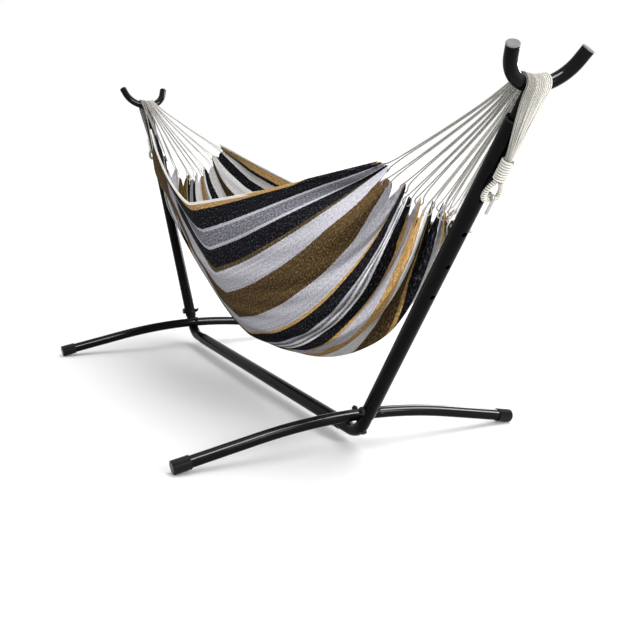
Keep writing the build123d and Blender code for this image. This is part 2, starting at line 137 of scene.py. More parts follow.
def smoothstep(low: float, high: float, value: Array) -> Array:
    """Return a smooth ramp from 0 at low to 1 at high."""
    share = np.clip((value - low) / (high - low), 0.0, 1.0)
    return share * share * (3.0 - 2.0 * share)


def travelled(points: Array) -> Array:
    """Return the distance along a line at each of its points."""
    return np.concatenate([[0.0], np.cumsum(np.linalg.norm(np.diff(points, axis=0), axis=1))])


def dress_mesh(mesh: bpy.types.Mesh, layer: bpy.types.MeshUVLoopLayer, places: Array,
               finish: Material) -> None:
    """Give a mesh its UV map, smooth shading and finish.

    Args:
        mesh: The mesh.
        layer: Its UV layer.
        places: UV place of each vertex.
        finish: The finish.
    """
    loops = np.zeros(len(mesh.loops), np.int64)
    mesh.loops.foreach_get("vertex_index", loops)
    layer.data.foreach_set("uv", places[loops].astype(np.float32).ravel())
    mesh.polygons.foreach_set("use_smooth", np.ones(len(mesh.polygons), bool))
    mesh.materials.append(finish)
    mesh.update()


@dataclass
class ShaderSheet:
    """Node tree of a finish or of the world, with short ways to add and join its nodes."""

    owner: bpy.types.ID

    def __post_init__(self) -> None:
        """Give the owner its nodes."""
        self.owner.use_nodes = True

    def add(self, kind: str, settings: dict[str, object] | None = None, **inputs: object) -> bpy.types.Node:
        """Add a node.

        Args:
            kind: Blender's node type.
            settings: Properties to set on the node.
            inputs: Socket values or the output sockets to join, by socket name with _ for a space,
                or i0, i1 and so on by place.

        Returns:
            The new node.
        """
        node = self.owner.node_tree.nodes.new(kind)
        for key, value in (settings or {}).items():
            setattr(node, key, value)
        self.put(node, **inputs)
        return node

    def put(self, node: bpy.types.Node, **inputs: object) -> None:
        """Set sockets of a node to values, or join output sockets to them.

        Args:
            node: The node.
            inputs: Values or output sockets, named as in add.
        """
        for key, value in inputs.items():
            numbered = key[0] == "i" and key[1:].isdigit()
            socket = node.inputs[int(key[1:])] if numbered else node.inputs[key.replace("_", " ")]
            if isinstance(value, Socket):
                self.owner.node_tree.links.new(value, socket)
            else:
                socket.default_value = value

    def dress(self, **inputs: object) -> None:
        """Set or join sockets of the finish's shader, named as in add."""
        self.put(self.owner.node_tree.nodes["Principled BSDF"], **inputs)

    def place(self) -> Socket:
        """Return the place on the object."""
        return self.add("ShaderNodeTexCoord").outputs["Object"]

    def stretched(self, place: Socket, scale: Place) -> Socket:
        """Return a place scaled along each axis."""
        return self.add("ShaderNodeMapping", None, Vector=place, Scale=scale).outputs[0]

    def noise(self, place: Socket, **inputs: float) -> Socket:
        """Return a noise at a place, with its sockets named as in add."""
        return self.add("ShaderNodeTexNoise", None, Vector=place, **inputs).outputs[0]

    def remap(self, value: Socket, ranges: Ranges, kind: str = "LINEAR") -> Socket:
        """Return a value carried from one range to another and held at its ends."""
        (i1, i2), (i3, i4) = ranges
        return self.add("ShaderNodeMapRange", {"interpolation_type": kind}, i0=value, i1=i1, i2=i2, i3=i3,
                        i4=i4).outputs[0]

    def math(self, operation: str, *values: object) -> Socket:
        """Return the result of a math node on values or sockets."""
        inputs = {f"i{place}": value for place, value in enumerate(values)}
        return self.add("ShaderNodeMath", {"operation": operation}, **inputs).outputs[0]

    def mix(self, share: object, first: object, second: object, blend: str = "MIX") -> Socket:
        """Return a colour mixed from two colours or colour sockets."""
        settings = {"data_type": "RGBA", "blend_type": blend}
        return self.add("ShaderNodeMix", settings, i0=share, i6=first, i7=second).outputs[2]

    def grey(self, value: Socket) -> Socket:
        """Return a value as a colour without hue."""
        return self.add("ShaderNodeCombineColor", None, i0=value, i1=value, i2=value).outputs[0]

    def bump(self, height: Socket, strength: float, distance: float) -> None:
        """Join a height to the shader's normal."""
        node = self.add("ShaderNodeBump", None, Strength=strength, Distance=distance, Height=height)
        self.dress(Normal=node.outputs[0])


@dataclass(frozen=True)
class HardFinish:
    """A hard finish whose colour and gloss follow its wear, over a fine grain.

    Wear and grain are textures, each with the values of its sockets by name.
    """

    name: str
    colour: Colour
    worn: Colour
    wear: Sockets
    worn_share: Ranges
    roughness: Ranges
    grain: Sockets
    relief: Pair
    grain_kind: str = "ShaderNodeTexNoise"
    specular: float = 0.5
    metallic: float = 0.0

    def build(self) -> Material:
        """Make the finish.

        Returns:
            The material.
        """
        sheet = ShaderSheet(bpy.data.materials.new(self.name))
        place = sheet.place()
        marks = sheet.noise(place, **dict(self.wear))
        sheet.dress(Base_Color=sheet.mix(sheet.remap(marks, self.worn_share), self.colour, self.worn),
                    Roughness=sheet.remap(marks, self.roughness), Specular_IOR_Level=self.specular,
                    Metallic=self.metallic)
        grain = sheet.add(self.grain_kind, None, Vector=place, **dict(self.grain))
        sheet.bump(grain.outputs[0], *self.relief)
        return sheet.owner


@dataclass(frozen=True)
class PowderCoat(HardFinish):
    """Satin powder coat on steel tube: fine orange peel and faint rub marks."""

    name: str = "black_powder_coat"
    colour: Colour = (0.0012, 0.0012, 0.0014, 1.0)
    worn: Colour = (0.0028, 0.0028, 0.0030, 1.0)
    wear: Sockets = (("Scale", 14.0), ("Detail", 6.0), ("Roughness", 0.6))
    worn_share: Ranges = ((0.52, 0.78), (0.0, 0.6))
    roughness: Ranges = ((0.25, 0.75), (0.08, 0.17))
    grain: Sockets = (("Scale", 900.0), ("Detail", 2.0))
    relief: Pair = (0.03, 0.0003)
    specular: float = 0.05


@dataclass(frozen=True)
class MouldedPlastic(HardFinish):
    """Moulded plastic with a fine spark-eroded grain."""

    wear: Sockets = (("Scale", 60.0), ("Detail", 5.0))
    worn_share: Ranges = ((0.45, 0.8), (0.0, 0.7))
    roughness: Ranges = ((0.2, 0.8), (0.26, 0.44))
    grain: Sockets = (("Scale", 1400.0),)
    relief: Pair = (0.15, 0.0003)
    grain_kind: str = "ShaderNodeTexVoronoi"
    specular: float = 0.14


@dataclass(frozen=True)
class PlatedSteel(HardFinish):
    """Plated steel with dull spots that stand a little proud."""

    wear: Sockets = (("Scale", 120.0), ("Detail", 6.0), ("Roughness", 0.65))
    worn_share: Ranges = ((0.4, 0.75), (0.0, 1.0))
    roughness: Ranges = ((0.2, 0.8), (0.2, 0.45))
    grain: Sockets = (("Scale", 120.0), ("Detail", 6.0), ("Roughness", 0.65))
    relief: Pair = (0.08, 0.0003)
    metallic: float = 1.0


@dataclass(frozen=True)
class CottonCord:
    """Undyed twisted cotton: yarn lines along the lay with painted shade in their troughs, fuzz and slight
    soiling.
    """

    tone: Cotton
    lay: float = 0.024
    yarns: float = 15.0
    yarn_slant: float = 0.5
    # Painted groove shade: how the yarn wave carries the colour towards the shade colour in its troughs.
    painted_groove_shade: Ranges = ((-1.0, 0.3), (0.3, 0.0))
    soiled: Ranges = ((0.5, 0.85), (0.0, 0.5))
    roughness: float = 0.92
    specular: float = 0.08
    fuzz_scale: float = 1600.0
    fuzz_height: float = 1.2
    soil_scale: float = 22.0
    relief: Pair = (0.5, 0.0004)

    def build(self) -> Material:
        """Make the finish.

        Returns:
            The material.
        """
        name, colour, shade = self.tone.value
        sheet = ShaderSheet(bpy.data.materials.new(name))
        run = sheet.add("ShaderNodeUVMap", {"uv_map": "run"}).outputs[0]
        split = sheet.add("ShaderNodeSeparateXYZ", None, Vector=run)
        around = sheet.math("MULTIPLY", split.outputs[1], self.yarns)
        along = sheet.math("MULTIPLY", split.outputs[0], self.yarns / self.lay * self.yarn_slant)
        phase = sheet.math("ADD", around, along)
        wave = sheet.math("SINE", sheet.math("MULTIPLY", phase, FULL_TURN))
        place = sheet.place()
        fuzz = sheet.noise(place, Scale=self.fuzz_scale, Detail=3.0)
        soil = sheet.noise(place, Scale=self.soil_scale, Detail=5.0)
        # Painted shade darkens the troughs of the yarn lines; the soil noise adds real random soiling on top.
        groove_shade_and_soil = sheet.math("MAXIMUM", sheet.remap(wave, self.painted_groove_shade), sheet.remap(soil, self.soiled))
        sheet.dress(Base_Color=sheet.mix(groove_shade_and_soil, colour, shade), Roughness=self.roughness,
                    Specular_IOR_Level=self.specular)
        sheet.bump(sheet.math("ADD", wave, sheet.math("MULTIPLY", fuzz, self.fuzz_height)), *self.relief)
        return sheet.owner


@dataclass(frozen=True)
class StripedWeave:
    """Coarse heathered cotton weave in lengthwise stripes.

    The UV map holds the cloth's own metres: first along its length, then across its width.
    """

    name: str = "striped_cloth"
    front: tuple[tuple[Yarn, float], ...] = (
        (Yarn.TAN, 24), (Yarn.CHARCOAL, 62), (Yarn.PALE, 9), (Yarn.GREY, 46), (Yarn.PALE, 9),
        (Yarn.CHARCOAL, 58), (Yarn.OLIVE, 12), (Yarn.PALE, 76), (Yarn.BROWN, 108), (Yarn.PALE, 80),
        (Yarn.MUSTARD, 16), (Yarn.CHARCOAL, 52), (Yarn.PALE, 12), (Yarn.GREY, 12), (Yarn.WHITE, 10),
        (Yarn.GREY, 8), (Yarn.WHITE, 12), (Yarn.CHARCOAL, 44), (Yarn.MUSTARD, 12), (Yarn.PALE, 56),
        (Yarn.TAN, 52), (Yarn.WHITE, 56),
    )
    back: tuple[tuple[Yarn, float], ...] = (
        (Yarn.BROWN, 45), (Yarn.MUSTARD, 12), (Yarn.CHARCOAL, 50), (Yarn.PALE, 30), (Yarn.GREY, 14),
        (Yarn.WHITE, 12), (Yarn.CHARCOAL, 40), (Yarn.WHITE, 70), (Yarn.TAN, 60), (Yarn.WHITE, 65),
        (Yarn.CHARCOAL, 28), (Yarn.WHITE, 46), (Yarn.BROWN, 60), (Yarn.WHITE, 50), (Yarn.CHARCOAL, 30),
        (Yarn.WHITE, 26), (Yarn.CHARCOAL, 12), (Yarn.TAN, 24),
    )
    width: float = CLOTH_WIDTH
    thread: float = 0.0021
    border_scale: float = 160.0
    border_shift: float = 0.005
    fleck_scale: Place = (100.0, 210.0, 1.0)
    fleck_gain: Ranges = ((0.36, 0.66), (0.30, 2.0))
    fleck_share: Ranges = ((0.10, 0.28), (0.85, 0.28))
    fleck_height: float = 1.6
    pale_fleck: Colour = (0.34, 0.33, 0.36, 1.0)
    pale_share: Ranges = ((0.56, 0.74), (0.0, 0.20))
    slub_scale: Place = (1.2, 260.0, 1.0)
    slub_tone: Ranges = ((0.32, 0.68), (0.76, 1.14))
    roughness: float = 0.95
    specular: float = 0.02
    relief: Pair = (0.55, 0.0007)

    @property
    def seam(self) -> float:
        """Place across the width where the front run of stripes ends."""
        whole = sum(size for _, size in self.front + self.back)
        return self.width * sum(size for _, size in self.front) / whole

    def ramp(self, sheet: ShaderSheet, across: Socket, span: Pair,
             stripes: Sequence[tuple[Yarn, float]]) -> Socket:
        """Lay one run of stripes.

        Args:
            sheet: The node tree.
            across: Socket with the place across the width.
            span: Where the run starts and ends.
            stripes: Yarn and share of each stripe.

        Returns:
            The colour socket.
        """
        share = sheet.remap(across, (span, (0.0, 1.0)))
        node = sheet.add("ShaderNodeValToRGB", None, Fac=share)
        node.color_ramp.interpolation = "CONSTANT"
        elements = node.color_ramp.elements
        place = 0.0
        whole = sum(size for _, size in stripes)
        for index, (yarn, size) in enumerate(stripes):
            element = elements[index] if index < len(elements) else elements.new(1.0)
            element.position = place
            element.color = yarn.value
            place += size / whole
        return node.outputs[0]

    def build(self) -> Material:
        """Make the finish.

        Returns:
            The material.
        """
        sheet = ShaderSheet(bpy.data.materials.new(self.name))
        cloth = sheet.add("ShaderNodeUVMap", {"uv_map": "cloth"}).outputs[0]
        axes = sheet.add("ShaderNodeSeparateXYZ", None, Vector=cloth)
        along, across = axes.outputs[0], axes.outputs[1]
        uneven = sheet.math("SUBTRACT", sheet.noise(cloth, Scale=self.border_scale, Detail=3.0), 0.5)
        place = sheet.math("ADD", across, sheet.math("MULTIPLY", uneven, self.border_shift))
        first = self.ramp(sheet, place, (0.0, self.seam), self.front)
        second = self.ramp(sheet, place, (self.seam, self.width), self.back)
        dyed = sheet.mix(sheet.math("GREATER_THAN", place, self.seam), first, second)
        fleck = sheet.noise(sheet.stretched(cloth, self.fleck_scale), Scale=1.0, Detail=2.0, Roughness=0.7)
        gain = sheet.grey(sheet.remap(fleck, self.fleck_gain))
        depth = sheet.add("ShaderNodeRGBToBW", None, Color=dyed).outputs[0]
        heather = sheet.mix(sheet.remap(depth, self.fleck_share), dyed, gain, "MULTIPLY")
        colour = sheet.mix(sheet.remap(fleck, self.pale_share), heather, self.pale_fleck)
        slub = sheet.noise(sheet.stretched(cloth, self.slub_scale), Scale=1.0, Detail=4.0)
        colour = sheet.mix(1.0, colour, sheet.grey(sheet.remap(slub, self.slub_tone)), "MULTIPLY")
        sheet.dress(Base_Color=colour, Roughness=self.roughness, Specular_IOR_Level=self.specular)
        turn = FULL_TURN / self.thread
        warp = sheet.math("SINE", sheet.math("MULTIPLY", across, turn))
        weft = sheet.math("SINE", sheet.math("MULTIPLY", along, turn))
        nap = sheet.math("MULTIPLY", fleck, self.fleck_height)
        sheet.bump(sheet.math("ADD", sheet.math("MULTIPLY", warp, weft), nap), *self.relief)
        return sheet.owner


@dataclass(frozen=True)
class PaleFloor:
    """Plain pale studio floor."""

    name: str = "pale_floor"
    colour: Colour = (0.93, 0.93, 0.935, 1.0)
    roughness: float = 0.8
    specular: float = 0.1

    def build(self) -> Material:
        """Make the finish.

        Returns:
            The material.
        """
        sheet = ShaderSheet(bpy.data.materials.new(self.name))
        sheet.dress(Base_Color=self.colour, Roughness=self.roughness, Specular_IOR_Level=self.specular)
        return sheet.owner


@dataclass(frozen=True)
class EndFrame:
    """Frame of one leaning upright: s up its axis, n outwards, y along the feet."""

    side: Side
    corner_x: float = 0.702
    corner_z: float = 0.043
    lean: float = math.radians(33.87)

    def point(self, n: float, y: float, s: float) -> Array:
        """Return a point of this frame in the row frame."""
        sin, cos = math.sin(self.lean), math.cos(self.lean)
        return np.array((self.side.sign * (self.corner_x + s * sin + n * cos), y,
                         self.corner_z + s * cos - n * sin))


@dataclass
class Strand:
    """A round or twisted strand along a smooth line, made as one closed mesh.

    The line is a NURBS spline that the route's control points draw. The strand has lobes that turn once
    in each lay; without lobes it is round.
    """

    name: str
    route: Sequence[Sequence[float]]
    diameter: float
    lobes: int = 3
    depth: float = 0.18
    lay: float = 0.024
    sides: int = 9
    step: float = 0.0022
    resolution: int = 24
    uv_name: str = "run"
    uv_around: Pair = (0.0, 1.0)
    line: Array = field(init=False)

    def __post_init__(self) -> None:
        """Draw the route's spline with Blender and space its points a step apart."""
        curve = bpy.data.curves.new(self.name + "_line", "CURVE")
        curve.dimensions = "3D"
        curve.resolution_u = self.resolution
        spline = curve.splines.new("NURBS")
        spline.points.add(len(self.route) - 1)
        for point, place in zip(spline.points, self.route):
            point.co = (*place, 1.0)
        spline.order_u = 3
        spline.use_endpoint_u = True
        holder = bpy.data.objects.new(self.name + "_line", curve)
        mesh = bpy.data.meshes.new_from_object(holder)
        points = np.array([vertex.co for vertex in mesh.vertices], float)
        bpy.data.meshes.remove(mesh)
        bpy.data.objects.remove(holder)
        bpy.data.curves.remove(curve)
        along = travelled(points)
        at = np.linspace(0.0, along[-1], int(along[-1] / self.step))
        self.line = np.stack([np.interp(at, along, points[:, axis]) for axis in range(3)], axis=1)

    @property
    def length(self) -> float:
        """Length of the line in metres."""
        return float(travelled(self.line)[-1])

    def frames(self) -> tuple[Array, Array]:
        """Carry two directions along the line without twist.

        Returns:
            Two unit vectors square to the line and to each other, at each point.
        """
        tangent = unit(np.gradient(self.line, axis=0))
        nearly_parallel = 0.2
        start = np.cross(tangent[0], (0.0, 1.0, 0.0))
        if np.linalg.norm(start) < nearly_parallel:
            start = np.cross(tangent[0], (1.0, 0.0, 0.0))
        across = [start / np.linalg.norm(start)]
        for way in tangent[1:]:
            carried = across[-1] - way * float(across[-1] @ way)
            across.append(carried / np.linalg.norm(carried))
        first = np.array(across)
        return first, np.cross(tangent, first)

    def rings(self) -> Array:
        """Set a ring of points round each point of the line.

        Returns:
            Points by place along the line, place round it, and axis.
        """
        first, second = self.frames()
        angle = np.linspace(0.0, FULL_TURN, self.sides, endpoint=False)
        radius = np.full((len(self.line), self.sides), self.diameter / 2.0)
        turned = angle[None, :] + (FULL_TURN / self.lay * travelled(self.line))[:, None]
        if self.lobes:
            lobe = np.abs(np.cos(self.lobes / 2.0 * angle))
            radius = radius * (1.0 - self.depth + self.depth * lobe)[None, :]
        ring = np.cos(turned)[..., None] * first[:, None, :] + np.sin(turned)[..., None] * second[:, None, :]
        return self.line[:, None, :] + ring * radius[..., None]

    def faces(self) -> list[tuple[int, ...]]:
        """List the faces of the skin and of both ends.

        Returns:
            Vertex numbers of each face; the middles of the two ends come after the rings.
        """
        count = len(self.line)
        last = (count - 1) * self.sides
        faces = []
        for row in range(0, last, self.sides):
            for side in range(self.sides):
                after = (side + 1) % self.sides
                faces.append((row + side, row + after, row + self.sides + after, row + self.sides + side))
        for side in range(self.sides):
            after = (side + 1) % self.sides
            faces.append((after, side, count * self.sides))
            faces.append((last + side, last + after, count * self.sides + 1))
        return faces

    def build(self, finish: Material) -> Piece:
        """Make the strand.

        Args:
            finish: Its finish.

        Returns:
            The object.
        """
        vertices = np.concatenate([self.rings().reshape(-1, 3), self.line[:1], self.line[-1:]])
        mesh = bpy.data.meshes.new(self.name)
        mesh.from_pydata(vertices.tolist(), [], self.faces())
        index = np.arange(len(vertices))
        row = np.minimum(index // self.sides, len(self.line) - 1)
        start, share = self.uv_around
        around = start + share * (index % self.sides) / self.sides
        places = np.stack([travelled(self.line)[row], around], axis=1)
        dress_mesh(mesh, mesh.uv_layers.new(name=self.uv_name), places, finish)
        obj = bpy.data.objects.new(self.name, mesh)
        bpy.context.scene.collection.objects.link(obj)
        return obj


@dataclass
class ClothShape:
    """Shape of the hanging cloth.

    t runs along its length from -1 at the left end to 1 at the right end, and s across it from the
    front rim at -1 to the back rim at 1. A pair for the ends holds the right-hand value first, and one
    for the middle of a rim holds y and z.
    """

    width: float = CLOTH_WIDTH
    rim_end_x: float = 0.938
    belly_end_x: float = 1.032
    rim_power: float = 1.12
    front_mid: Pair = (-0.241, 0.663)
    front_end_y: float = -0.108
    front_end_z: Pair = (0.840, 0.900)
    back_mid: Pair = (0.206, 0.692)
    back_end_y: Pair = (0.066, 0.226)
    back_end_z: Pair = (0.676, 0.838)
    side_angle: float = math.radians(45.0)
    belly_y: float = 0.024
    belly_end_shift: Pair = (-0.016, 0.080)
    belly_mid_z: float = 0.169
    belly_rise: Pair = (0.396, 0.450)
    belly_power: Pair = (2.4, 1.4)
    belly_end_lift: Pair = (0.176, 0.076)
    belly_end_power: int = 8
    crease_at: float = 0.05
    crease: float = 0.03
    crease_share: float = 0.6
    lip: float = 0.036
    lip_at: float = -0.08
    lip_reach: Pair = (0.20, 0.62)
    lip_power: int = 3
    fingers: int = 14
    fold_depth: float = 0.015
    ruck_depth: float = 0.013
    ruck_at: float = 0.82
    ruck_reach: float = 0.16
    gather_from: float = 0.72
    gather_share: float = 0.55
    finger_length: float = 0.042
    finger_from: float = 0.80
    finger_power: float = 4.0
    finger_puff: float = 0.007
    finger_sink: float = 0.004
    finger_ribs: float = 3.0
    finger_rib_depth: float = 0.0022
    rim_from: float = 0.93
    rim_calm: float = 0.55
    # Turns across the half width, phase, drift along the length and weight of each run of wrinkles.
    wrinkles: tuple[tuple[float, float, float, float], ...] = (
        (5.3, 0.4, 0.5, 1.0), (8.7, 2.1, -0.8, 0.6), (12.9, 4.4, 0.6, 0.55), (19.4, 1.3, -1.1, 0.5),
        (28.3, 2.6, 0.9, 0.28),
    )
    wrinkle_depth: float = 0.0062
    wrinkle_mid: float = 0.4
    stripe_mid: float = 0.04
    stripe_left: float = 1.5
    # Share of the width up to the belly and power of the front, and how much they change by the ends.
    stripe_belly: Pair = (0.447, 0.167)
    stripe_power: Pair = (0.87, 0.32)

    def pick(self, t: Array, pair: Pair) -> Array:
        """Return the right-hand or left-hand value of a pair, by the sign of t."""
        return np.where(t >= 0.0, pair[0], pair[1])

    def plain(self, t: Array, s: Array) -> Array:
        """Place points of the cloth without its folds.

        Args:
            t: Places along the length.
            s: Places across it.

        Returns:
            Points in the row frame.
        """
        reach = np.abs(t)
        end = reach**self.belly_end_power
        belly_z = self.belly_mid_z + self.pick(t, self.belly_rise) * reach ** self.pick(t, self.belly_power)
        belly_z = belly_z + self.pick(t, self.belly_end_lift) * end
        belly_y = self.belly_y + self.pick(t, self.belly_end_shift) * end
        off = (t - self.crease_at) / np.where(t > self.crease_at, 1.0 - self.crease_at, 1.0 + self.crease_at)
        bend = np.sqrt(off**2 + self.crease**2) - self.crease
        bend = bend / (math.sqrt(1.0 + self.crease**2) - self.crease)
        plan = (1.0 - self.crease_share) * reach**2 + self.crease_share * bend
        rise = reach**self.rim_power
        front_y = self.front_mid[0] + (self.front_end_y - self.front_mid[0]) * plan
        front_z = self.front_mid[1] + (self.pick(t, self.front_end_z) - self.front_mid[1]) * rise
        back_y = self.back_mid[0] + (self.pick(t, self.back_end_y) - self.back_mid[0]) * reach**2
        back_z = self.back_mid[1] + (self.pick(t, self.back_end_z) - self.back_mid[1]) * rise
        run = np.where(t < self.lip_at, self.lip_reach[1], self.lip_reach[0])
        lean = self.lip * np.exp(-(((t - self.lip_at) / run) ** 2)) * np.abs(s) ** self.lip_power
        rim_y = np.where(s < 0.0, front_y - lean, back_y)
        rim_z = np.where(s < 0.0, front_z, back_z)
        angle = np.abs(s) * self.side_angle
        y = belly_y + (rim_y - belly_y) * np.sin(angle) / math.sin(self.side_angle)
        z = belly_z + (rim_z - belly_z) * (1.0 - np.cos(angle)) / (1.0 - math.cos(self.side_angle))
        tilt = (self.belly_end_x - self.rim_end_x) * t / (front_z - belly_z)
        return np.stack([self.rim_end_x * t + tilt * (front_z - z), y, z], axis=-1)

    def outward(self, t: Array, s: Array) -> Array:
        """Find the way out of the hollow.

        Args:
            t: Places along the length.
            s: Places across it.

        Returns:
            Unit vectors square to the plain cloth.
        """
        step = 0.004
        along = self.plain(np.clip(t + step, -1.0, 1.0), s) - self.plain(np.clip(t - step, -1.0, 1.0), s)
        across = self.plain(t, np.clip(s + step, -1.0, 1.0)) - self.plain(t, np.clip(s - step, -1.0, 1.0))
        return unit(np.cross(across, along))

    def folded(self, t: Array, s: Array) -> Array:
        """Place points of the cloth with its folds, fingers and small wrinkles.

        Args:
            t: Places along the length.
            s: Places across it.

        Returns:
            Points in the row frame.
        """
        reach = np.abs(t)
        near_end = smoothstep(self.gather_from, 1.0, reach)
        cell = ((s + 1.0) * self.fingers / 2.0) % 1.0
        gather = np.sin(FULL_TURN * cell) / FULL_TURN * 2.0 / self.fingers
        drawn = np.clip(s + self.gather_share * near_end * gather, -1.0, 1.0)
        rounded = 1.0 - np.abs(2.0 * cell - 1.0) ** self.finger_power
        point = np.where(np.abs(s) > 1.0 - 1.0 / self.fingers, 1.0, rounded)
        notch = self.finger_length / self.belly_end_x * smoothstep(self.finger_from, 1.0, reach)
        scallop = 1.0 - notch * (1.0 - point)
        wave = -np.sin(math.pi * self.fingers / 2.0 * (s + 1.0))
        sway = self.fold_depth * reach**2 * wave
        sway = sway + self.ruck_depth * np.exp(-(((reach - self.ruck_at) / self.ruck_reach) ** 2)) * wave
        puff = self.finger_rib_depth * np.cos(self.finger_ribs * FULL_TURN * cell) + self.finger_puff
        sway = sway + near_end * np.sin(math.pi * cell) * puff - self.finger_sink * near_end
        spread = (self.wrinkle_mid + (1.0 - self.wrinkle_mid) * reach) * (1.0 - near_end)
        wrinkle = np.zeros_like(sway)
        for turns, phase, drift, weight in self.wrinkles:
            wrinkle = wrinkle + weight * np.sin(turns * math.pi * s + phase + drift * math.pi * t)
        edge = 1.0 - self.rim_calm * smoothstep(self.rim_from, 1.0, np.abs(s))
        sway = (sway + self.wrinkle_depth * wrinkle * spread) * edge
        return self.plain(t * scallop, drawn) + self.outward(t * scallop, drawn) * sway[..., None]

    def finger_middle(self, index: int) -> Array:
        """Return the place of a finger's middle across the cloth."""
        return np.array(-1.0 + (2.0 * index + 1.0) / self.fingers)

    def tip(self, side: Side, index: int) -> Array:
        """Return the middle of one finger's end."""
        return self.folded(np.array(side.sign), self.finger_middle(index))

    def finger_plane(self, side: Side, index: int) -> tuple[Array, Array]:
        """Find how one finger lies at its end.

        Args:
            side: End of the cloth.
            index: Finger, from the front rim.

        Returns:
            Unit vectors into the cloth and across the finger.
        """
        near, further, half = 0.98, 0.97, 0.012
        t, s = np.array(near * side.sign), self.finger_middle(index)
        inwards = unit(self.folded(further * t, s) - self.tip(side, index))
        across = self.folded(t, s + half) - self.folded(t, s - half)
        return inwards, unit(across - inwards * float(across @ inwards))

    def end_slope(self, side: Side) -> Array:
        """Return the direction up one end of the cloth, without its part along y."""
        front, belly = self.plain(np.full(2, side.sign), np.array((-1.0, 0.0)))
        return unit((front - belly) * (1.0, 0.0, 1.0))

    def across(self, t: Array, s: Array) -> Array:
        """Find places across the flat cloth's width.

        Args:
            t: Places along the length.
            s: Places across it.

        Returns:
            Metres from the front rim.
        """
        off = t - self.stripe_mid
        share = np.where(off >= 0.0, np.clip(off, 0.0, 1.0), np.clip(-self.stripe_left * off, 0.0, 1.0))
        belly = (self.stripe_belly[0] + self.stripe_belly[1] * share) * self.width
        power = self.stripe_power[0] - self.stripe_power[1] * share
        front = belly * np.maximum(s + 1.0, 0.0) ** power
        back = belly + (self.width - belly) * np.maximum(s, 0.0)
        return np.where(s < 0.0, front, back)


